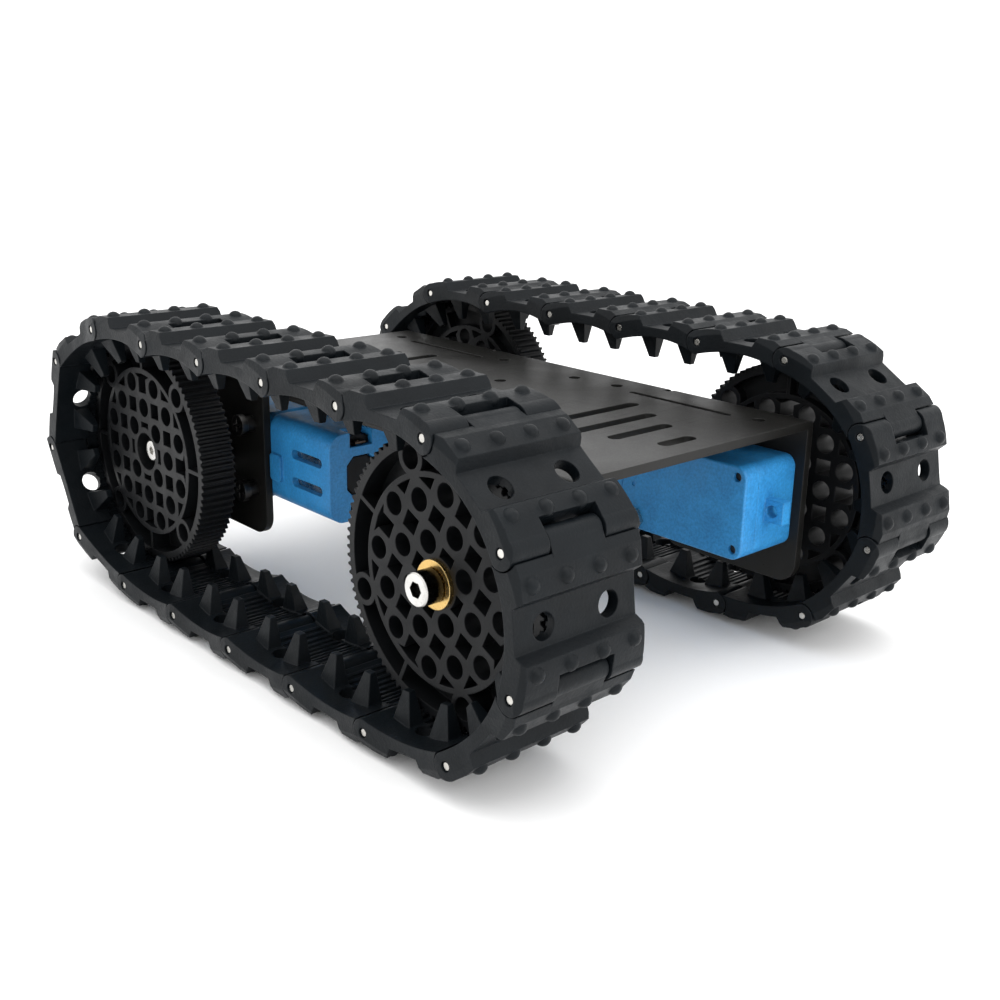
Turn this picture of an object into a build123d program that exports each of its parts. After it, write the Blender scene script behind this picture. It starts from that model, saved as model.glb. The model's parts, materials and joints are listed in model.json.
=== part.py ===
"""Tracked tank chassis: slotted deck, two link tracks, four lattice wheels, two gearmotors."""
import math
import os

from build123d import *

os.makedirs("parts", exist_ok=True)

# Layout
AXLE_X = 60.2
TRACK_Y = 55.15

# Track link, measured from the fork pin towards the tongue pin
PITCH = 26.0
LINKS = 17
LINK_W = 32.0
PIN_D = 1.6
RIDGE_Z = 3.9
VALLEY_Z = 1.5
END_X = 24.4
KNUCKLE_R = 3.0
TONGUE_R = 2.55
SLOT_END = 2.9
SLOT_W = 14.0
TONGUE_W = 13.0
CHANNEL_W = 12.6
DOME_H = 1.0

# Wheels
WHEEL_W = 9.0
TIP_R = 29.3
ROOT_R = 28.4
TEETH = 96
CELL = 8.27
HOLE_R = 2.4
IDLER_FACE = 60.9
DRIVE_FACE = 59.4
WEB_DEPTH = 5.0
WEB_T = 1.2
IDLER_TURN = 19.3
DRIVE_TURN = 44.5

# Deck
DECK_L = 149.4
DECK_W = 80.0
SHEET = 2.0
DECK_RISE = 19.8
FLANGE_X = 34.0
FLANGE_DROP = 40.3
MOUNT_X = AXLE_X - 20.6
MOUNT_Z = 8.75

# Gearmotor, drawn at the front right corner
BOX_X0 = 35.2
BOX_X1 = 72.2
BOX_Y0 = 19.2
BOX_Y1 = 38.0
BOX_H = 22.5
SPLIT_Y = 24.2
WALL = 1.5
MOTOR_END = 8.0
END_WALL = 1.8
CAN_X0 = 12.6
MOTOR_Y = (BOX_Y0 + BOX_Y1) / 2
MID_X = AXLE_X - 10.5


def save(builder, label):
    builder.part.label = label
    export_step(builder.part, "parts/" + label + ".step")


def save_turned(source, label):
    """Write the same piece turned half a turn about the vertical centre line."""
    with BuildPart() as turned:
        add(source.part, rotation=(0, 0, 180))
    save(turned, label)


def across(x, y, z):
    """Sketch plane with local x forward, local y up, drawn from y towards the centre plane."""
    return Plane(origin=(x, y, z), x_dir=(1, 0, 0), z_dir=(0, -1, 0))


def wheel_face(x, y, z, degrees, outward):
    """Face plane of a wheel on the side named by outward, turned about the axle."""
    a = math.radians(degrees)
    x_dir = (-outward * math.cos(a), 0, math.sin(a))
    return Plane(origin=(x, y, z), x_dir=x_dir, z_dir=(0, outward, 0))


def along(x, y, z):
    """Sketch plane facing forward, local x across and local y up."""
    return Plane(origin=(x, y, z), x_dir=(0, 1, 0), z_dir=(1, 0, 0))


# ---------------------------------------------------------------- track path

def path_point(s, r):
    """Point (x, z) on the loop of two straights and two half circles."""
    straight = 2 * AXLE_X
    arc = math.pi * r
    s = s % (2 * straight + 2 * arc)
    if s < straight:
        return (-AXLE_X + s, r)
    s -= straight
    if s < arc:
        a = math.pi / 2 - s / r
        return (AXLE_X + r * math.cos(a), r * math.sin(a))
    s -= arc
    if s < straight:
        return (AXLE_X - s, -r)
    a = -math.pi / 2 - (s - straight) / r
    return (-AXLE_X + r * math.cos(a), r * math.sin(a))


def next_pin(s, r):
    low = PITCH
    high = PITCH + 5
    start = path_point(s, r)
    for _ in range(60):
        mid = (low + high) / 2
        if math.dist(start, path_point(s + mid, r)) < PITCH:
            low = mid
        else:
            high = mid
    return s + mid


def pin_ring(phase):
    """Pin centres for a closed loop of equal links, in running order."""
    low = 31.0
    high = 34.0
    for _ in range(60):
        r = (low + high) / 2
        stops = [phase]
        for _ in range(LINKS):
            stops.append(next_pin(stops[-1], r))
        if stops[-1] - phase < 4 * AXLE_X + 2 * math.pi * r:
            high = r
        else:
            low = r
    return [path_point(s, r) for s in stops[:-1]], r


LEFT_PINS, PIN_R = pin_ring(AXLE_X + 15.8 - PITCH)
RIGHT_PINS, PIN_R_RIGHT = pin_ring(AXLE_X - 12.5 - PITCH)
WHEEL_DROP = math.sqrt(PIN_R ** 2 - (PITCH / 2) ** 2)

# the lowest domes stand on z = 0
AXLE_Z = max(PIN_R, PIN_R_RIGHT) + RIDGE_Z + DOME_H
DECK_TOP = AXLE_Z + DECK_RISE


# ---------------------------------------------------------------- track link

with BuildPart() as link:
    # side outline: arched inner edge, rounded fork end, two ridges and the valley
    with BuildSketch(Plane.XZ):
        with BuildLine():
            ThreePointArc((END_X, -2.5), (10.5, -1.0), (0, -KNUCKLE_R))
            ThreePointArc((0, -KNUCKLE_R), (-KNUCKLE_R, 0), (0, KNUCKLE_R))
            ThreePointArc((0, KNUCKLE_R), (3.0, 3.7), (6.4, RIDGE_Z))
            Polyline((6.4, RIDGE_Z), (7.9, VALLEY_Z), (16.2, VALLEY_Z), (17.7, RIDGE_Z),
                     (22.4, RIDGE_Z - 0.1), (END_X, 2.9), (END_X, -2.5))
        make_face()
    extrude(amount=LINK_W / 2, both=True)
    # ridge ends slope in above the side rail
    for side in (-1, 1):
        with BuildSketch(Plane.YZ.offset(-4)):
            with BuildLine():
                Polyline((side * 16.1, 1.1), (side * 16.1, 6), (side * 14.2, 6), (side * 16.0, 1.1),
                         close=True)
            make_face()
        extrude(amount=30, mode=Mode.SUBTRACT)
        # sides waisted between the knuckles
        with BuildSketch(Plane.XY.offset(-5)):
            with BuildLine():
                ThreePointArc((-1, side * 16.01), (10.5, side * 15.2), (END_X, side * 16.01))
                Line((END_X, side * 16.01), (-1, side * 16.01))
            make_face()
        extrude(amount=10, mode=Mode.SUBTRACT)
    # seat round the knuckle of the next link
    with BuildSketch(Plane.XZ):
        with Locations((PITCH, 0)):
            Circle(KNUCKLE_R + 0.3)
    extrude(amount=LINK_W, both=True, mode=Mode.SUBTRACT)
    # fork slot
    with BuildSketch(Plane.XY.offset(-6)):
        with Locations((SLOT_END / 2 - 2, 0)):
            Rectangle(SLOT_END + 4, SLOT_W)
    extrude(amount=12, mode=Mode.SUBTRACT)
    # tongue
    with BuildSketch(Plane.XZ):
        with Locations((PITCH, 0)):
            Circle(TONGUE_R)
        with BuildLine():
            Polyline((20.5, 3.4), (23.5, 3.3), (PITCH, TONGUE_R), (PITCH, -TONGUE_R), (20.5, -1.0),
                     close=True)
        make_face()
    extrude(amount=TONGUE_W / 2, both=True)
    # running channel for the wheel, with fine cross ribs
    with BuildSketch(Plane.XZ):
        with Locations((PITCH / 2, -WHEEL_DROP)):
            Circle(TIP_R + 0.8)
    extrude(amount=CHANNEL_W / 2, both=True, mode=Mode.SUBTRACT)
    for k in range(-4, 5):
        spot = Location((PITCH / 2, 0, -WHEEL_DROP), (0, k * 360 / TEETH, 0))
        with Locations(spot * Location((0, 0, TIP_R + 0.8))):
            Box(0.8, CHANNEL_W - 0.2, 0.9)
    # guide horns, two each side
    for x in (5.4, 17.4):
        for side in (-1, 1):
            with BuildSketch(Plane.XY.offset(-0.4)):
                with Locations((x, side * 8.5)):
                    Rectangle(6.2, 4.0)
            with BuildSketch(Plane.XY.offset(-7.8)):
                with Locations((x, side * 7.4)):
                    Rectangle(2.0, 1.5)
            loft()
    # grip domes
    for x in (4.4, 20.2):
        for y in (-12.3, -4.1, 4.1, 12.3):
            with Locations((x, y, RIDGE_Z + DOME_H - 1.78)):
                Sphere(1.78)
    # valley holes and pin bores
    with BuildSketch(Plane.XY.offset(-6)):
        with Locations((11.6, -8.15), (11.6, 8.15)):
            Circle(2.6)
    extrude(amount=12, mode=Mode.SUBTRACT)
    with BuildSketch(Plane.XZ):
        with Locations((0, 0), (PITCH, 0)):
            Circle(PIN_D / 2 + 0.05)
    extrude(amount=LINK_W, both=True, mode=Mode.SUBTRACT)
    for side in (-1, 1):
        with BuildSketch(Plane.XZ.offset(side * (LINK_W / 2 - 0.7))):
            Circle(1.1)
        extrude(amount=side * 2, mode=Mode.SUBTRACT)


def link_places(pins, y, forward):
    """One placement per link; the fork end leads when forward is true."""
    places = []
    for k in range(LINKS):
        a = pins[k]
        b = pins[(k + 1) % LINKS]
        fork, tongue = (b, a) if forward else (a, b)
        x_dir = ((tongue[0] - fork[0]) / PITCH, 0, (tongue[1] - fork[1]) / PITCH)
        out = (a[1] - b[1], b[0] - a[0])
        z_dir = (out[0] / PITCH, 0, out[1] / PITCH)
        origin = (fork[0], y, fork[1] + AXLE_Z)
        places.append(Plane(origin=origin, x_dir=x_dir, z_dir=z_dir).location)
    return places


RUNS = {"top": [], "front": [], "bottom": [], "rear": []}


def run_name(a, b):
    x = (a[0] + b[0]) / 2
    z = (a[1] + b[1]) / 2
    if abs(x) > AXLE_X + 6:
        return "front" if x > 0 else "rear"
    return "top" if z > 0 else "bottom"


for side, pins, y, forward in (("left", LEFT_PINS, -TRACK_Y, True),
                               ("right", RIGHT_PINS, TRACK_Y, False)):
    places = link_places(pins, y, forward)
    for run in RUNS:
        with BuildPart() as links:
            for k in range(LINKS):
                if run_name(pins[k], pins[(k + 1) % LINKS]) == run:
                    with Locations(places[k]):
                        add(link.part)
        save(links, side + "_track_" + run)
    with BuildPart() as hinge_pins:
        with BuildSketch(Plane.XZ.offset(-y - LINK_W / 2 + 0.35)):
            with Locations([(p[0], p[1] + AXLE_Z) for p in pins]):
                Circle(PIN_D / 2)
        extrude(amount=LINK_W - 0.7)
    save(hinge_pins, side + "_track_pins")


# ---------------------------------------------------------------- wheels

def cells():
    """Lattice hole centres and diamond centres in cell units."""
    holes = []
    diamonds = []
    for i in range(-2, 3):
        for j in range(-2, 3):
            if (i, j) != (0, 0) and abs(i) + abs(j) < 4:
                holes.append((i * CELL, j * CELL))
    for i in range(-3, 3):
        for j in range(-3, 3):
            if math.hypot(i + 0.5, j + 0.5) < 2.7:
                diamonds.append(((i + 0.5) * CELL, (j + 0.5) * CELL))
    return holes, diamonds


def wheel_outline(hub_r, bore_r):
    """Rim, ring bosses, spokes and the perforated centre, centred on the sketch origin."""
    holes, diamonds = cells()
    Circle(ROOT_R)
    with PolarLocations(ROOT_R, TEETH):
        Polygon((-0.4, -0.62), (-0.4, 0.62), (0, 0.62), (TIP_R - ROOT_R, 0.22), (TIP_R - ROOT_R, -0.22),
                (0, -0.62), align=None)
    Circle(26.8, mode=Mode.SUBTRACT)
    Circle(22.0)
    with BuildSketch(mode=Mode.PRIVATE) as openings:
        with Locations(diamonds):
            RegularPolygon(2.7, 4)
        for turn in range(4):
            with Locations(Location((0, 0, 0), (0, 0, 90 * turn))):
                Polygon((12.4, 12.4), (12.4, 15.1), (11.7, 16.9), (14.6, 14.6), (16.9, 11.7),
                        (15.1, 12.4), align=None)
        Circle(20.8, mode=Mode.INTERSECT)
        Circle(hub_r, mode=Mode.SUBTRACT)
        with Locations(holes):
            Circle(HOLE_R + 0.85, mode=Mode.SUBTRACT)
        with Locations(holes):
            Circle(HOLE_R)
    add(openings.sketch, mode=Mode.SUBTRACT)
    with PolarLocations(3 * CELL, 4):
        Circle(3.6)
    with PolarLocations(24.5, 4, start_angle=45):
        Rectangle(5.4, 1.0)
    with PolarLocations(3 * CELL, 4):
        Circle(HOLE_R, mode=Mode.SUBTRACT)
    Circle(bore_r, mode=Mode.SUBTRACT)


def web_outline():
    """Thin floor between the rim and the inner ring, open at the ring bosses."""
    Circle(27.0)
    Circle(21.8, mode=Mode.SUBTRACT)
    with PolarLocations(3 * CELL, 4):
        Circle(HOLE_R, mode=Mode.SUBTRACT)


# left front idler
with BuildPart() as idler:
    with BuildSketch(wheel_face(AXLE_X, -IDLER_FACE, AXLE_Z, IDLER_TURN, -1)):
        wheel_outline(5.6, 4.0)
    extrude(amount=-WHEEL_W)
    with BuildSketch(wheel_face(AXLE_X, -IDLER_FACE + WEB_DEPTH, AXLE_Z, IDLER_TURN, -1)):
        web_outline()
    extrude(amount=-WEB_T)
save(idler, "left_idler_wheel")
save_turned(idler, "right_idler_wheel")

with BuildPart() as bushings:
    for y, flange, body in ((-IDLER_FACE, -1.0, 4.0), (-IDLER_FACE + WHEEL_W, 1.0, -4.0)):
        plane = Plane(origin=(AXLE_X, y, AXLE_Z), x_dir=(1, 0, 0), z_dir=(0, 1, 0))
        with BuildSketch(plane):
            Circle(5.0)
            Circle(2.05, mode=Mode.SUBTRACT)
        extrude(amount=flange)
        with BuildSketch(plane):
            Circle(4.0)
            Circle(2.05, mode=Mode.SUBTRACT)
        extrude(amount=body)
save(bushings, "left_idler_bushings")
save_turned(bushings, "right_idler_bushings")

with BuildPart() as axle_bolt:
    head = Plane(origin=(AXLE_X, -66.2, AXLE_Z), x_dir=(1, 0, 0), z_dir=(0, 1, 0))
    with BuildSketch(head):
        Circle(3.5)
    extrude(amount=4.0)
    with BuildSketch(head.offset(4.0)):
        Circle(2.0)
    extrude(amount=30.0)
    with BuildSketch(head):
        RegularPolygon(1.73, 6)
    extrude(amount=2.2, mode=Mode.SUBTRACT)
    chamfer(axle_bolt.edges().filter_by(GeomType.CIRCLE).group_by(Axis.Y)[0], 0.3)
save(axle_bolt, "left_axle_bolt")
save_turned(axle_bolt, "right_axle_bolt")

with BuildPart() as axle_spacer:
    with BuildSketch(across(AXLE_X, -DECK_W / 2, AXLE_Z)):
        Circle(3.5)
        Circle(2.05, mode=Mode.SUBTRACT)
    extrude(amount=IDLER_FACE - WHEEL_W - 1.3 - DECK_W / 2)
save(axle_spacer, "left_axle_spacer")
save_turned(axle_spacer, "right_axle_spacer")

with BuildPart() as lock_nut:
    with BuildSketch(across(AXLE_X, -(DECK_W / 2 - SHEET - 5.0), AXLE_Z)):
        RegularPolygon(3.5, 6, major_radius=False)
        Circle(2.0, mode=Mode.SUBTRACT)
    extrude(amount=5.0)
save(lock_nut, "left_axle_nut")
save_turned(lock_nut, "right_axle_nut")

# right front drive wheel
with BuildPart() as drive:
    face = wheel_face(AXLE_X, DRIVE_FACE, AXLE_Z, 0, 1)
    with BuildSketch(wheel_face(AXLE_X, DRIVE_FACE, AXLE_Z, DRIVE_TURN, 1)):
        wheel_outline(6.4, 1.3)
    extrude(amount=-WHEEL_W)
    with BuildSketch(wheel_face(AXLE_X, DRIVE_FACE - WEB_DEPTH, AXLE_Z, DRIVE_TURN, 1)):
        web_outline()
    extrude(amount=-WEB_T)
    with BuildSketch(face.offset(-WHEEL_W)):
        Circle(5.4)
        Circle(1.3, mode=Mode.SUBTRACT)
    extrude(amount=-9.0)
    with BuildSketch(face):
        Circle(4.9)
    extrude(amount=-3.4, mode=Mode.SUBTRACT)
    # socket for the flatted shaft
    with BuildSketch(face.offset(-WHEEL_W - 9.0)):
        Circle(2.7)
        Rectangle(8, 3.7, mode=Mode.INTERSECT)
    extrude(amount=6.0, mode=Mode.SUBTRACT)
save(drive, "right_drive_wheel")
save_turned(drive, "left_drive_wheel")

with BuildPart() as wheel_screw:
    seat = Plane(origin=(AXLE_X, DRIVE_FACE - 3.4, AXLE_Z), x_dir=(-1, 0, 0), z_dir=(0, 1, 0))
    with BuildSketch(seat):
        Circle(2.8)
    extrude(amount=2.0)
    with BuildSketch(seat):
        Circle(1.25)
    extrude(amount=-14.0)
    with BuildSketch(seat.offset(2.0)):
        RegularPolygon(1.15, 6)
    extrude(amount=-1.2, mode=Mode.SUBTRACT)
    chamfer(wheel_screw.edges().filter_by(GeomType.CIRCLE).group_by(Axis.Y)[-1], 0.3)
save(wheel_screw, "right_wheel_screw")
save_turned(wheel_screw, "left_wheel_screw")


# ---------------------------------------------------------------- deck

with BuildPart() as deck:
    with BuildSketch(Plane.XY.offset(DECK_TOP - SHEET)):
        Rectangle(DECK_L, DECK_W)
        for x, half in ((38.0, 20.0), (47.8, 15.0), (56.8, 10.0), (67.2, 5.6)):
            with Locations((x, 0), (-x, 0)):
                SlotOverall(2 * half, 3.4, rotation=90, mode=Mode.SUBTRACT)
        with Locations((44.0, 28.4), (-44.0, 28.4), (44.0, -28.4), (-44.0, -28.4)):
            SlotOverall(31.6, 1.8, mode=Mode.SUBTRACT)
        with Locations((21.3, 31.0), (-21.3, 31.0), (21.3, -31.0), (-21.3, -31.0),
                       (7.7, 29.5), (-7.7, -29.5), (-1.5, 11.3), (1.5, -11.3),
                       (66.5, 30.0), (-66.5, 30.0), (66.5, -30.0), (-66.5, -30.0)):
            Circle(1.6, mode=Mode.SUBTRACT)
        # bend reliefs beside each flange
        with Locations((FLANGE_X - 0.8, 38.5), (0.8 - FLANGE_X, 38.5),
                       (FLANGE_X - 0.8, -38.5), (0.8 - FLANGE_X, -38.5)):
            Rectangle(1.6, 4.0, mode=Mode.SUBTRACT)
    extrude(amount=SHEET)
    # bent flanges at the four corners
    for y in (-DECK_W / 2, DECK_W / 2 - SHEET):
        for x in (-1, 1):
            with BuildSketch(Plane(origin=(0, y, DECK_TOP), x_dir=(1, 0, 0), z_dir=(0, -1, 0))):
                with Locations((x * (FLANGE_X + DECK_L / 2) / 2, -FLANGE_DROP / 2)):
                    Rectangle(DECK_L / 2 - FLANGE_X, FLANGE_DROP)
            extrude(amount=-SHEET)
    corners = deck.edges().filter_by(Axis.Y).group_by(Axis.Z)[0]
    fillet(corners, 5.0)
    outer = [e for e in deck.edges().filter_by(Axis.X)
             if abs(abs(e.center().Y) - DECK_W / 2) < 0.01 and abs(e.center().Z - DECK_TOP) < 0.01]
    fillet(outer, 1.6)
    # idler axle holes
    with BuildSketch(across(0, -DECK_W / 2 - 1, AXLE_Z)):
        with Locations((AXLE_X, 0)):
            Circle(2.1)
        with Locations((-AXLE_X, 0)):
            Circle(5.0)
        with Locations((-MOUNT_X, MOUNT_Z), (-MOUNT_X, -MOUNT_Z)):
            Circle(1.6)
    extrude(amount=-6, mode=Mode.SUBTRACT)
    with BuildSketch(across(0, DECK_W / 2 + 1, AXLE_Z)):
        with Locations((-AXLE_X, 0)):
            Circle(2.1)
        with Locations((AXLE_X, 0)):
            Circle(5.0)
        with Locations((MOUNT_X, MOUNT_Z), (MOUNT_X, -MOUNT_Z)):
            Circle(1.6)
    extrude(amount=6, mode=Mode.SUBTRACT)
save(deck, "deck_plate")


# ---------------------------------------------------------------- gearmotor

def gear_outline(teeth, module):
    """Slim-toothed gear; one tooth points along local x."""
    pitch_r = teeth * module / 2
    half = math.pi * module * 0.19
    Circle(pitch_r - module)
    with PolarLocations(pitch_r, teeth):
        Polygon((-1.1 * module, -1.3 * half), (-1.1 * module, 1.3 * half), (0.75 * module, 0.55 * half),
                (0.75 * module, -0.55 * half), align=None)


def gear_plane(x, depth, phase=0):
    """Plane across a gear shaft, depth measured from the inboard face, phase in degrees."""
    a = math.radians(phase)
    x_dir = (math.cos(a), 0, math.sin(a))
    return Plane(origin=(x, BOX_Y0 + depth, AXLE_Z), x_dir=x_dir, z_dir=(0, 1, 0))


def box_outline(x0, x1, inset, r):
    with Locations(((x0 + x1) / 2, 0)):
        RectangleRounded(x1 - x0 - 2 * inset, BOX_H - 2 * inset, r)


# outboard shell, against the flange
with BuildPart() as shell:
    with BuildSketch(across(0, SPLIT_Y, AXLE_Z)):
        box_outline(BOX_X0, BOX_X1, 0, 3.0)
    extrude(amount=-(BOX_Y1 - SPLIT_Y))
    with BuildSketch(across(0, SPLIT_Y, AXLE_Z)):
        box_outline(BOX_X0, BOX_X1, WALL, 1.5)
        with Locations((MOUNT_X, MOUNT_Z), (MOUNT_X, -MOUNT_Z)):
            Circle(3.0, mode=Mode.SUBTRACT)
        with Locations((BOX_X1 - 2.5, 8.7), (BOX_X1 - 2.5, -8.7)):
            Circle(2.4, mode=Mode.SUBTRACT)
    extrude(amount=-(BOX_Y1 - SPLIT_Y - WALL), mode=Mode.SUBTRACT)
    # end lug
    with BuildSketch(across(0, MOTOR_Y - 1.4, AXLE_Z)):
        with Locations((BOX_X1 + 2.0, 0)):
            Rectangle(6.0, 5.4)
            Circle(1.5, mode=Mode.SUBTRACT)
    extrude(amount=-2.8)
    # shaft boss seat, screw holes and fixed gear pin
    with BuildSketch(across(0, BOX_Y1 + 1, AXLE_Z)):
        with Locations((AXLE_X, 0)):
            Circle(2.78)
        with Locations((MOUNT_X, MOUNT_Z), (MOUNT_X, -MOUNT_Z)):
            Circle(1.6)
    extrude(amount=20, mode=Mode.SUBTRACT)
    with BuildSketch(across(0, SPLIT_Y, AXLE_Z)):
        with Locations((BOX_X1 - 2.5, 8.7), (BOX_X1 - 2.5, -8.7)):
            Circle(0.9)
    extrude(amount=-8, mode=Mode.SUBTRACT)
    with BuildSketch(across(0, BOX_Y1 - WALL, AXLE_Z)):
        with Locations((MID_X, 0)):
            Circle(2.0)
            Circle(1.0, mode=Mode.SUBTRACT)
    extrude(amount=0.7)
    # doorway for the motor nose
    with BuildSketch(along(BOX_X0 - 1, MOTOR_Y, AXLE_Z)):
        Circle(4.0)
    extrude(amount=4, mode=Mode.SUBTRACT)
save(shell, "right_gearbox_shell")
save_turned(shell, "left_gearbox_shell")

with BuildPart() as cover:
    with BuildSketch(across(0, BOX_Y0, AXLE_Z)):
        box_outline(BOX_X0, BOX_X1, 0, 3.0)
    extrude(amount=-(SPLIT_Y - BOX_Y0))
    with BuildSketch(across(0, BOX_Y0 + WALL, AXLE_Z)):
        box_outline(BOX_X0, BOX_X1, WALL, 1.5)
        with Locations((MOUNT_X, MOUNT_Z), (MOUNT_X, -MOUNT_Z)):
            Circle(3.0, mode=Mode.SUBTRACT)
        with Locations((BOX_X1 - 2.5, 8.7), (BOX_X1 - 2.5, -8.7)):
            Circle(2.4, mode=Mode.SUBTRACT)
    extrude(amount=-(SPLIT_Y - BOX_Y0), mode=Mode.SUBTRACT)
    with BuildSketch(across(0, BOX_Y0 + WALL, AXLE_Z)):
        with Locations((MID_X, 0)):
            Circle(2.0)
    extrude(amount=-0.4)
    with BuildSketch(across(0, BOX_Y0 - 1, AXLE_Z)):
        with Locations((MOUNT_X, MOUNT_Z), (MOUNT_X, -MOUNT_Z)):
            Circle(1.6)
        with Locations((BOX_X1 - 2.5, 8.7), (BOX_X1 - 2.5, -8.7)):
            Circle(1.1)
    extrude(amount=-10, mode=Mode.SUBTRACT)
    with BuildSketch(across(0, BOX_Y0 + 0.4, AXLE_Z)):
        with Locations((AXLE_X, 0)):
            Circle(2.05)
        with Locations((MID_X, 0)):
            Circle(1.0)
    extrude(amount=-3, mode=Mode.SUBTRACT)
    # moulded dimple near the mounting holes
    with BuildSketch(across(0, BOX_Y0, AXLE_Z)):
        with Locations((MOUNT_X - 0.6, 0)):
            Circle(0.6)
    extrude(amount=-0.4, mode=Mode.SUBTRACT)
    fillet(cover.edges().group_by(Axis.Y)[0].filter_by(Axis.X), 0.5)
save(cover, "right_gearbox_cover")
save_turned(cover, "left_gearbox_cover")

with BuildPart() as sleeve:
    with BuildSketch(along(MOTOR_END, MOTOR_Y, AXLE_Z)):
        RectangleRounded(BOX_Y1 - BOX_Y0, BOX_H, 4.0)
    extrude(amount=BOX_X0 - MOTOR_END)
    # bore for the flat-sided motor, behind an end wall with an eight-sided window
    with BuildSketch(along(MOTOR_END + END_WALL, MOTOR_Y, AXLE_Z)):
        Circle(10.1)
        Rectangle(15.2, 30, mode=Mode.INTERSECT)
    extrude(amount=BOX_X0 - MOTOR_END, mode=Mode.SUBTRACT)
    with BuildSketch(along(MOTOR_END - 1, MOTOR_Y, AXLE_Z)):
        Polygon((-4.4, -3.1), (-4.4, 3.1), (-2.4, 5.2), (2.4, 5.2), (4.4, 3.1), (4.4, -3.1),
                (2.4, -5.2), (-2.4, -5.2), align=None)
    extrude(amount=END_WALL + 2, mode=Mode.SUBTRACT)
    # vents through both flats
    with BuildSketch(across(0, BOX_Y0 - 1, AXLE_Z)):
        with Locations((MOTOR_END + 10.0, 3.6), (MOTOR_END + 10.0, -3.6)):
            SlotOverall(13.2, 2.4)
    extrude(amount=-30, mode=Mode.SUBTRACT)
    # snap tab on the flange side
    with BuildSketch(across(0, BOX_Y1, AXLE_Z)):
        with Locations((31.2, -1.5)):
            RectangleRounded(4.8, 7.0, 1.0)
    extrude(amount=-0.8)
    # terminal notches at the top and bottom of the end
    with BuildSketch(along(MOTOR_END - 1, MOTOR_Y, AXLE_Z)):
        with Locations((0, BOX_H / 2), (0, -BOX_H / 2)):
            Rectangle(6.8, 7.5)
    extrude(amount=5.5, mode=Mode.SUBTRACT)
save(sleeve, "right_motor_sleeve")
save_turned(sleeve, "left_motor_sleeve")

with BuildPart() as can:
    with BuildSketch(along(CAN_X0, MOTOR_Y, AXLE_Z)):
        Circle(10.0)
        Rectangle(15.0, 30, mode=Mode.INTERSECT)
    extrude(amount=BOX_X0 - CAN_X0)
    with BuildSketch(along(CAN_X0 - 1, MOTOR_Y, AXLE_Z)):
        Circle(9.4)
        Rectangle(13.8, 30, mode=Mode.INTERSECT)
    extrude(amount=BOX_X0 - CAN_X0 + 0.2, mode=Mode.SUBTRACT)
    # front bearing nose
    with BuildSketch(along(BOX_X0, MOTOR_Y, AXLE_Z)):
        Circle(3.0)
    extrude(amount=1.3)
    with BuildSketch(along(BOX_X0 - 5, MOTOR_Y, AXLE_Z)):
        Circle(1.05)
    extrude(amount=10, mode=Mode.SUBTRACT)
save(can, "right_motor_can")
save_turned(can, "left_motor_can")

with BuildPart() as end_cap:
    with BuildSketch(along(CAN_X0 - 2.4, MOTOR_Y, AXLE_Z)):
        Circle(9.9)
        Rectangle(14.8, 30, mode=Mode.INTERSECT)
    extrude(amount=2.4)
    with BuildSketch(along(CAN_X0 - 4.0, MOTOR_Y, AXLE_Z)):
        Polygon((-3.9, -2.8), (-3.9, 2.8), (-2.1, 4.7), (2.1, 4.7), (3.9, 2.8), (3.9, -2.8),
                (2.1, -4.7), (-2.1, -4.7), align=None)
    extrude(amount=1.6)
    # tail bearing cup
    with BuildSketch(along(CAN_X0, MOTOR_Y, AXLE_Z)):
        Circle(2.4)
    extrude(amount=1.6)
    with BuildSketch(along(CAN_X0 - 2.0, MOTOR_Y, AXLE_Z)):
        Circle(1.05)
    extrude(amount=10, mode=Mode.SUBTRACT)
    with BuildSketch(along(CAN_X0 - 3.0, MOTOR_Y, AXLE_Z)):
        with Locations((0, 8.4), (0, -8.4)):
            Rectangle(3.0, 0.5)
    extrude(amount=4, mode=Mode.SUBTRACT)
save(end_cap, "right_motor_end_cap")
save_turned(end_cap, "left_motor_end_cap")

with BuildPart() as terminals:
    for z in (-8.4, 8.4):
        with BuildSketch(Plane.XY.offset(AXLE_Z + z - 0.25)):
            with Locations((CAN_X0 - 2.2, MOTOR_Y)):
                Rectangle(4.4, 3.0)
            with Locations((CAN_X0 - 3.4, MOTOR_Y)):
                Circle(0.6, mode=Mode.SUBTRACT)
        extrude(amount=0.5)
save(terminals, "right_motor_terminals")
save_turned(terminals, "left_motor_terminals")

# armature, motor shaft and its pinion
with BuildPart() as rotor:
    with BuildSketch(along(CAN_X0 - 1.4, MOTOR_Y, AXLE_Z)):
        Circle(1.0)
    extrude(amount=33.6)
    with BuildSketch(along(CAN_X0 + 4.4, MOTOR_Y, AXLE_Z)):
        with PolarLocations(0, 3):
            with Locations((3.0, 0)):
                Rectangle(6.0, 1.8)
        Circle(6.0)
        Circle(5.0, mode=Mode.SUBTRACT)
        with PolarLocations(5.5, 3, start_angle=60):
            Rectangle(2.0, 1.2, mode=Mode.SUBTRACT)
        with PolarLocations(0, 3):
            with Locations((3.0, 0)):
                Rectangle(6.0, 1.8)
        Circle(1.9)
    extrude(amount=12.5)
    with BuildSketch(along(CAN_X0 + 1.9, MOTOR_Y, AXLE_Z)):
        Circle(2.2)
    extrude(amount=2.5)
    with BuildSketch(along(43.2, MOTOR_Y, AXLE_Z)):
        gear_outline(8, 0.5)
    extrude(amount=1.5)
save(rotor, "right_motor_rotor")
save_turned(rotor, "left_motor_rotor")

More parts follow.
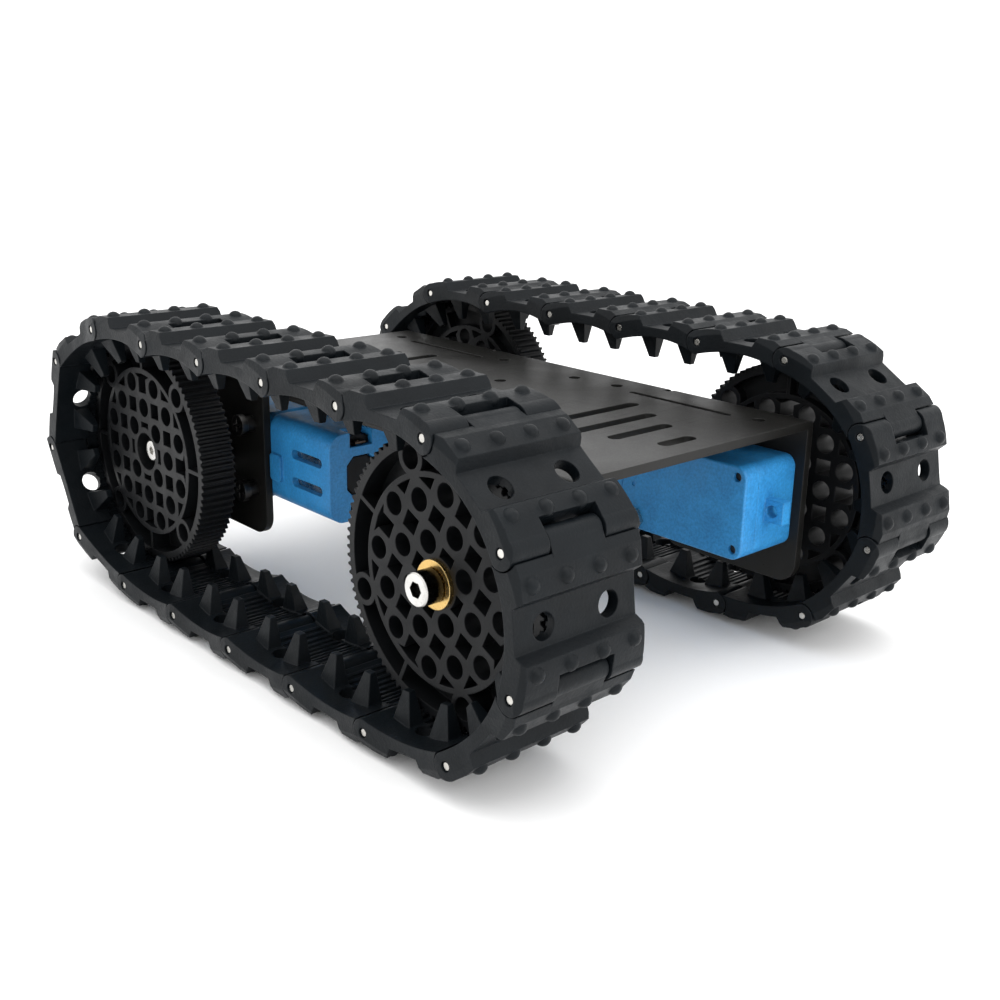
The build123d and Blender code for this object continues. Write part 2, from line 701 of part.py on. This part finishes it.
# crown gear with its small pinion, on the fixed pin
with BuildPart() as crown:
    with BuildSketch(gear_plane(MID_X, 12.05)):
        Circle(6.3)
    extrude(amount=1.0)
    with BuildSketch(gear_plane(MID_X, 10.95)):
        with PolarLocations(5.75, 24, start_angle=7.5):
            Rectangle(1.1, 0.55)
    extrude(amount=1.1)
    with BuildSketch(gear_plane(MID_X, 13.05)):
        gear_outline(14, 0.5)
    extrude(amount=3.2)
    with BuildSketch(gear_plane(MID_X, 8)):
        Circle(1.05)
    extrude(amount=10, mode=Mode.SUBTRACT)
save(crown, "right_crown_gear")
save_turned(crown, "left_crown_gear")

# first compound gear, free on the output shaft
with BuildPart() as compound:
    with BuildSketch(gear_plane(AXLE_X, 13.5, 180 / 28)):
        gear_outline(28, 0.5)
    extrude(amount=2.6)
    with BuildSketch(gear_plane(AXLE_X, 4.9)):
        gear_outline(14, 0.5)
    extrude(amount=8.6)
    with BuildSketch(gear_plane(AXLE_X, 3)):
        Circle(2.05)
    extrude(amount=16, mode=Mode.SUBTRACT)
save(compound, "right_compound_gear")
save_turned(compound, "left_compound_gear")

# second compound gear, on the fixed pin
with BuildPart() as layshaft:
    with BuildSketch(gear_plane(MID_X, 4.9, 180 / 28)):
        gear_outline(28, 0.5)
    extrude(amount=1.7)
    with BuildSketch(gear_plane(MID_X, 2.4)):
        gear_outline(8, 0.525)
    extrude(amount=2.5)
    with BuildSketch(gear_plane(MID_X, 1)):
        Circle(1.05)
    extrude(amount=10, mode=Mode.SUBTRACT)
save(layshaft, "right_second_gear")
save_turned(layshaft, "left_second_gear")

with BuildPart() as output:
    with BuildSketch(gear_plane(AXLE_X, 2.4, 180 / 32)):
        gear_outline(32, 0.525)
    extrude(amount=2.0)
    with BuildSketch(gear_plane(AXLE_X, 0.6)):
        Circle(2.0)
    extrude(amount=17.0)
    with BuildSketch(gear_plane(AXLE_X, 16.5)):
        Circle(2.7)
    extrude(amount=2.6)
    with BuildSketch(gear_plane(AXLE_X, 19.0)):
        Circle(2.7)
        Rectangle(8, 3.7, mode=Mode.INTERSECT)
    extrude(amount=8.6)
    with BuildSketch(gear_plane(AXLE_X, 29)):
        Circle(1.25)
    extrude(amount=-10, mode=Mode.SUBTRACT)
save(output, "right_output_gear")
save_turned(output, "left_output_gear")

with BuildPart() as gear_pin:
    with BuildSketch(gear_plane(MID_X, 0.6)):
        Circle(1.0)
    extrude(amount=16.7)
save(gear_pin, "right_gear_pin")
save_turned(gear_pin, "left_gear_pin")

with BuildPart() as case_screws:
    for z in (-8.7, 8.7):
        with BuildSketch(Plane(origin=(BOX_X1 - 2.5, BOX_Y0 + 0.9, AXLE_Z + z), x_dir=(1, 0, 0),
                               z_dir=(0, 1, 0))):
            Circle(1.05)
        extrude(amount=4.1)
        with BuildSketch(Plane(origin=(BOX_X1 - 2.5, SPLIT_Y, AXLE_Z + z), x_dir=(1, 0, 0),
                               z_dir=(0, 1, 0))):
            Circle(0.9)
        extrude(amount=6.0)
save(case_screws, "right_case_screws")
save_turned(case_screws, "left_case_screws")

# mounting screws through flange and gearbox, heads on sleeves outboard, nuts inboard
with BuildPart() as mount_screws:
    for z in (-MOUNT_Z, MOUNT_Z):
        spot = Plane(origin=(MOUNT_X, DECK_W / 2 + 2.6, AXLE_Z + z), x_dir=(1, 0, 0), z_dir=(0, 1, 0))
        with BuildSketch(spot):
            Circle(2.75)
        extrude(amount=1.7)
        with BuildSketch(spot.offset(1.7)):
            Rectangle(3.4, 0.7)
            Rectangle(0.7, 3.4)
        extrude(amount=-0.8, mode=Mode.SUBTRACT)
        with BuildSketch(spot):
            Circle(1.5)
        extrude(amount=-(DECK_W / 2 + 2.6 - BOX_Y0 + 2.6))
save(mount_screws, "right_mount_screws")
save_turned(mount_screws, "left_mount_screws")

with BuildPart() as mount_sleeves:
    for z in (-MOUNT_Z, MOUNT_Z):
        with BuildSketch(Plane(origin=(MOUNT_X, DECK_W / 2, AXLE_Z + z), x_dir=(1, 0, 0), z_dir=(0, 1, 0))):
            Circle(2.1)
            Circle(1.55, mode=Mode.SUBTRACT)
        extrude(amount=2.6)
save(mount_sleeves, "right_mount_sleeves")
save_turned(mount_sleeves, "left_mount_sleeves")

with BuildPart() as mount_nuts:
    for z in (-MOUNT_Z, MOUNT_Z):
        with BuildSketch(Plane(origin=(MOUNT_X, BOX_Y0, AXLE_Z + z), x_dir=(1, 0, 0), z_dir=(0, -1, 0))):
            RegularPolygon(2.75, 6, major_radius=False)
            Circle(1.5, mode=Mode.SUBTRACT)
        extrude(amount=2.2)
save(mount_nuts, "right_mount_nuts")
save_turned(mount_nuts, "left_mount_nuts")
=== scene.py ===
import json
import math

import bpy
from mathutils import Matrix, Vector


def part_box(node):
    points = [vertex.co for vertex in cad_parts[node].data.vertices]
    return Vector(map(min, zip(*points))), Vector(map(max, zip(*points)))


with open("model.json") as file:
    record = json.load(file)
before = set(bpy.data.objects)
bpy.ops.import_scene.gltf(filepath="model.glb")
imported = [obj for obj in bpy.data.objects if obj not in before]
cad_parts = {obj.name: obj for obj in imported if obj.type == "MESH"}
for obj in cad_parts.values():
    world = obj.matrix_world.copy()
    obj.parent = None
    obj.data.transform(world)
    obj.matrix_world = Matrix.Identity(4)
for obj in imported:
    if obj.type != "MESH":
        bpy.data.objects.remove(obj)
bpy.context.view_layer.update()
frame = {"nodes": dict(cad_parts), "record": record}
nodes = frame["nodes"]


wheel_low, wheel_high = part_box("right_drive_wheel")
AXLE_Z = (wheel_low.z + wheel_high.z) / 2

# camera, fitted to the viewing angle: place from the axle height, angles in degrees, lens in mm
CAMERA_PLACE = Vector((0.2309, -0.2027, 0.0872 + AXLE_Z))
CAMERA_AZIMUTH = 47.25
CAMERA_ELEVATION = 17.55
CAMERA_ROLL = 1.23
CAMERA_LENS = 44.63

# light: world strength, lamp powers in watts, and half the floor's side in metres
WORLD_STRENGTH = 1.35
TOP_POWER = 5.5
FRONT_POWER = 3.0
FLOOR_HALF = 40.0

# the nodes drawn with another look than their material slot
OWN_LOOKS = {"mount_screws": "dark_steel", "mount_sleeves": "dark_steel",
             "case_screws": "dark_steel", "axle_bolt": "axle_bolt"}


# ---------------------------------------------------------------- materials

def graph(name):
    """A new node material, its tree, and its shader with the output joined up."""
    mat = bpy.data.materials.new(name)
    mat.use_nodes = True
    tree = mat.node_tree
    tree.nodes.clear()
    out = tree.nodes.new("ShaderNodeOutputMaterial")
    shader = tree.nodes.new("ShaderNodeBsdfPrincipled")
    tree.links.new(shader.outputs[0], out.inputs[0])
    return mat, tree, shader


def add(tree, kind, links=(), **settings):
    """A node with its settings made and its inputs linked."""
    node = tree.nodes.new(kind)
    for key, value in settings.items():
        if key.startswith("in_"):
            slot = key[3:].replace("_", " ")
            node.inputs[int(slot) if slot.isdigit() else slot].default_value = value
        else:
            setattr(node, key, value)
    for socket, source in links:
        tree.links.new(source, node.inputs[socket])
    return node


def noise(tree, place, scale, detail=3.0, roughness=0.5, distortion=0.0, stretch=None):
    if stretch:
        mapped = add(tree, "ShaderNodeMapping", [(0, place)], in_Scale=stretch)
        place = mapped.outputs[0]
    found = add(tree, "ShaderNodeTexNoise", [("Vector", place)], in_Scale=scale, in_Detail=detail,
                in_Roughness=roughness, in_Distortion=distortion)
    return found.outputs["Fac"]


def span(tree, value, low, high, to_low=0.0, to_high=1.0):
    """Value mapped from low..high to to_low..to_high, held at its ends."""
    node = tree.nodes.new("ShaderNodeMapRange")
    node.clamp = True
    tree.links.new(value, node.inputs[0])
    for k, number in enumerate((low, high, to_low, to_high)):
        node.inputs[k + 1].default_value = number
    return node.outputs[0]


def blend_colours(tree, share, first, second):
    node = tree.nodes.new("ShaderNodeMix")
    node.data_type = "RGBA"
    tree.links.new(share, node.inputs[0])
    for socket, colour in ((6, first), (7, second)):
        if isinstance(colour, tuple):
            node.inputs[socket].default_value = (*colour, 1)
        else:
            tree.links.new(colour, node.inputs[socket])
    return node.outputs[2]


def maths(tree, operation, a, b):
    node = tree.nodes.new("ShaderNodeMath")
    node.operation = operation
    for k, value in enumerate((a, b)):
        if isinstance(value, (int, float)):
            node.inputs[k].default_value = value
        else:
            tree.links.new(value, node.inputs[k])
    return node.outputs[0]


def surface(name, colour, shade, worn, rough, metallic=0.0, patch=70.0, grain=2600.0,
            grain_height=0.00002, edge=0.00025, wear=0.5, specular=0.5, marks=0.0,
            speckle=0.0, painted_side_shade=None):
    """Colour varies in patches, edges are rounded and rubbed, grain is a fine bump.

    rough is (lowest, highest); lengths are in metres. marks adds long dull scuffs, speckle
    mottles the colour, and the side colour is painted shade on the faces that do not look along Y.
    """
    mat, tree, shader = graph(name)
    place = add(tree, "ShaderNodeTexCoord").outputs["Object"]
    own_normal = add(tree, "ShaderNodeNewGeometry").outputs["True Normal"]
    rounded = add(tree, "ShaderNodeBevel", samples=4, in_Radius=edge)
    patches = span(tree, noise(tree, place, patch, 4.0, 0.55, 0.4), 0.32, 0.68)
    base = blend_colours(tree, patches, shade, colour)

    if speckle:
        dots = span(tree, noise(tree, place, grain, 2.0, 0.7), 0.35, 0.65, 1 - speckle, 1 + speckle)
        base = add(tree, "ShaderNodeVectorMath", [(0, base), ("Scale", dots)], operation="SCALE").outputs[0]

    # painted shade: faces that do not look along Y get the darker side colour in place of their own
    if painted_side_shade:
        facing = add(tree, "ShaderNodeSeparateXYZ", [(0, own_normal)]).outputs["Y"]
        flat = span(tree, maths(tree, "ABSOLUTE", facing, 0.0), 0.35, 0.75)
        base = blend_colours(tree, flat, painted_side_shade, base)

    # rubbed edges: where the rounded normal leaves the face's own
    lean = add(tree, "ShaderNodeVectorMath", [(0, rounded.outputs[0]), (1, own_normal)],
               operation="DOT_PRODUCT")
    edges = span(tree, lean.outputs["Value"], 0.995, 0.86)
    rubbed = span(tree, noise(tree, place, patch * 9, 5.0, 0.65), 0.36, 0.66)
    rub = maths(tree, "MULTIPLY", maths(tree, "MULTIPLY", edges, rubbed), wear)
    base = blend_colours(tree, rub, base, worn)

    fine = noise(tree, place, grain, 3.0, 0.6)
    gloss = span(tree, noise(tree, place, patch * 2.3, 4.0, 0.6, 0.6), 0.3, 0.7, rough[0], rough[1])
    gloss = maths(tree, "ADD", gloss, span(tree, fine, 0.3, 0.7, -0.04, 0.04))
    if marks:
        lines = noise(tree, place, 900.0, 2.0, 0.5, 1.5, (1.0, 0.035, 1.0))
        scuffs = maths(tree, "MULTIPLY", span(tree, lines, 0.62, 0.7),
                       span(tree, noise(tree, place, 40.0, 3.0), 0.45, 0.62))
        gloss = maths(tree, "ADD", gloss, maths(tree, "MULTIPLY", scuffs, marks))
    bump = add(tree, "ShaderNodeBump", [("Height", fine), ("Normal", rounded.outputs[0])],
               in_Strength=0.5, in_Distance=grain_height)
    tree.links.new(base, shader.inputs["Base Color"])
    tree.links.new(gloss, shader.inputs["Roughness"])
    tree.links.new(bump.outputs[0], shader.inputs["Normal"])
    shader.inputs["Metallic"].default_value = metallic
    shader.inputs["Specular IOR Level"].default_value = specular
    return mat


looks = {
    "link_plastic": surface("link_plastic", (0.0038, 0.0058, 0.0076), (0.0020, 0.0032, 0.0044),
                            (0.022, 0.027, 0.032), (0.36, 0.56), patch=70, grain=1700,
                            grain_height=0.00014, edge=0.0004, wear=0.45, specular=0.15),
    "wheel_plastic": surface("wheel_plastic", (0.0050, 0.0056, 0.0064), (0.0030, 0.0034, 0.0040),
                             (0.028, 0.031, 0.034), (0.34, 0.50), patch=60, grain=2200,
                             grain_height=0.00006, edge=0.0003, wear=0.35, specular=0.17),
    "anodised": surface("anodised", (0.0140, 0.0140, 0.0130), (0.0088, 0.0086, 0.0080),
                        (0.075, 0.074, 0.070), (0.30, 0.46), metallic=0.12, patch=18, grain=2600,
                        grain_height=0.00004, edge=0.0003, wear=0.3, specular=0.22, marks=0.1),
    "blue_plastic": surface("blue_plastic", (0.030, 0.245, 0.550), (0.023, 0.195, 0.455),
                            (0.11, 0.36, 0.68), (0.32, 0.48), patch=150, grain=1500,
                            grain_height=0.00007, edge=0.0004, wear=0.3, specular=0.35,
                            speckle=0.14),
    "brass": surface("brass", (0.72, 0.49, 0.18), (0.56, 0.36, 0.12), (0.86, 0.68, 0.36),
                     (0.16, 0.30), metallic=1.0, patch=160, grain=3200,
                     grain_height=0.00002, edge=0.0003, wear=0.6),
    "bright_screw": surface("bright_screw", (0.74, 0.73, 0.70), (0.56, 0.55, 0.53), (0.92, 0.92, 0.90),
                            (0.16, 0.30), metallic=1.0, patch=240, grain=3600,
                            grain_height=0.00002, edge=0.00025, wear=0.6),
    "nickel": surface("nickel", (0.66, 0.64, 0.60), (0.42, 0.41, 0.38), (0.88, 0.86, 0.83),
                      (0.16, 0.30), metallic=1.0, patch=240, grain=3600,
                      grain_height=0.00002, edge=0.0002, wear=0.5),
    "motor_steel": surface("motor_steel", (0.52, 0.52, 0.51), (0.40, 0.40, 0.39), (0.75, 0.75, 0.74),
                           (0.20, 0.34), metallic=1.0, patch=120, grain=2800,
                           grain_height=0.00002, edge=0.0003, wear=0.5),
    "black_plastic": surface("black_plastic", (0.0060, 0.0062, 0.0070), (0.0038, 0.0040, 0.0046),
                             (0.022, 0.022, 0.024), (0.40, 0.55), patch=120, grain=2600,
                             grain_height=0.00004, edge=0.0003, wear=0.3, specular=0.18),
    "copper": surface("copper", (0.12, 0.09, 0.07), (0.06, 0.045, 0.035), (0.42, 0.30, 0.20),
                      (0.28, 0.44), metallic=1.0, patch=300, grain=3600,
                      grain_height=0.00002, edge=0.00015, wear=0.4),
    "white_plastic": surface("white_plastic", (0.70, 0.69, 0.64), (0.62, 0.61, 0.56),
                             (0.80, 0.80, 0.77), (0.32, 0.46), patch=120, grain=2200,
                             grain_height=0.00002, edge=0.0002, wear=0.2),
    # axle bolt: bright steel, with painted shade on the head's sides
    "axle_bolt": surface("axle_bolt", (0.74, 0.73, 0.70), (0.56, 0.55, 0.53), (0.85, 0.85, 0.83),
                         (0.16, 0.30), metallic=1.0, patch=240, grain=3600,
                         grain_height=0.00002, edge=0.00025, wear=0.3,
                         painted_side_shade=(0.030, 0.029, 0.028)),
    "dark_steel": surface("dark_steel", (0.085, 0.083, 0.080), (0.035, 0.034, 0.033),
                          (0.30, 0.29, 0.28), (0.30, 0.44), metallic=0.9, patch=240, grain=3600,
                          grain_height=0.00002, edge=0.0003, wear=0.5),
}

slots = {part["node"]: part["material_slot"] for part in frame["record"]["subparts"]}
for name, obj in nodes.items():
    obj.data.materials.clear()
    kind = name.split("_", 1)[1]
    obj.data.materials.append(looks[OWN_LOOKS.get(kind, slots[name])])


# ---------------------------------------------------------------- floor and light

def sheet(name, half):
    """A flat square floor at the height of the track studs."""
    mesh = bpy.data.meshes.new(name)
    corners = [(-half, -half, 0), (half, -half, 0), (half, half, 0), (-half, half, 0)]
    mesh.from_pydata(corners, [], [(0, 1, 2, 3)])
    obj = bpy.data.objects.new(name, mesh)
    bpy.context.scene.collection.objects.link(obj)
    return obj


floor = sheet("floor", FLOOR_HALF)
mat, tree, shader = graph("floor_white")
place = add(tree, "ShaderNodeTexCoord").outputs["Object"]
paper = blend_colours(tree, noise(tree, place, 6.0, 3.0), (0.94, 0.94, 0.94), (0.96, 0.96, 0.96))
tree.links.new(paper, shader.inputs["Base Color"])
weave = noise(tree, place, 420.0, 2.0)
bump = add(tree, "ShaderNodeBump", [("Height", weave)], in_Strength=0.2, in_Distance=0.0002)
tree.links.new(bump.outputs[0], shader.inputs["Normal"])
shader.inputs["Roughness"].default_value = 0.85
shader.inputs["Specular IOR Level"].default_value = 0.2
floor.data.materials.append(mat)

world = bpy.data.worlds.new("studio")
bpy.context.scene.world = world
world.use_nodes = True
world.node_tree.nodes["Background"].inputs[0].default_value = (1.0, 1.0, 1.0, 1)
world.node_tree.nodes["Background"].inputs[1].default_value = WORLD_STRENGTH


def softbox(name, place, target, size, power):
    lamp = bpy.data.lights.new(name, "AREA")
    lamp.shape = "RECTANGLE"
    lamp.size, lamp.size_y = size
    lamp.energy = power
    obj = bpy.data.objects.new(name, lamp)
    bpy.context.scene.collection.objects.link(obj)
    obj.location = place
    obj.rotation_euler = (Vector(target) - Vector(place)).to_track_quat("-Z", "Y").to_euler()
    return obj


softbox("top_light", (0.10, -0.05, 0.95), (0, 0, 0.03), (1.2, 0.9), TOP_POWER)
softbox("front_light", (1.0, 0.15, 0.55), (0, 0, 0.03), (0.8, 0.7), FRONT_POWER)


# ---------------------------------------------------------------- camera

def aim(position, azimuth, elevation, roll):
    """Camera matrix looking back along the given angles, in degrees."""
    a, e, r = (math.radians(v) for v in (azimuth, elevation, roll))
    back = Vector((math.sin(a) * math.cos(e), -math.cos(a) * math.cos(e), math.sin(e)))
    right = Vector((0, 0, 1)).cross(back).normalized()
    up = back.cross(right)
    turned_right = right * math.cos(r) + up * math.sin(r)
    turned_up = up * math.cos(r) - right * math.sin(r)
    turn = Matrix((turned_right, turned_up, back)).transposed().to_4x4()
    return Matrix.Translation(position) @ turn


data = bpy.data.cameras.new("camera")
data.sensor_width = 36.0
data.lens = CAMERA_LENS
data.clip_start = 0.01
data.clip_end = 50.0
camera = bpy.data.objects.new("camera", data)
bpy.context.scene.collection.objects.link(camera)
camera.matrix_world = aim(CAMERA_PLACE, CAMERA_AZIMUTH, CAMERA_ELEVATION, CAMERA_ROLL)
bpy.context.scene.camera = camera
bpy.context.scene.view_settings.view_transform = "Standard"
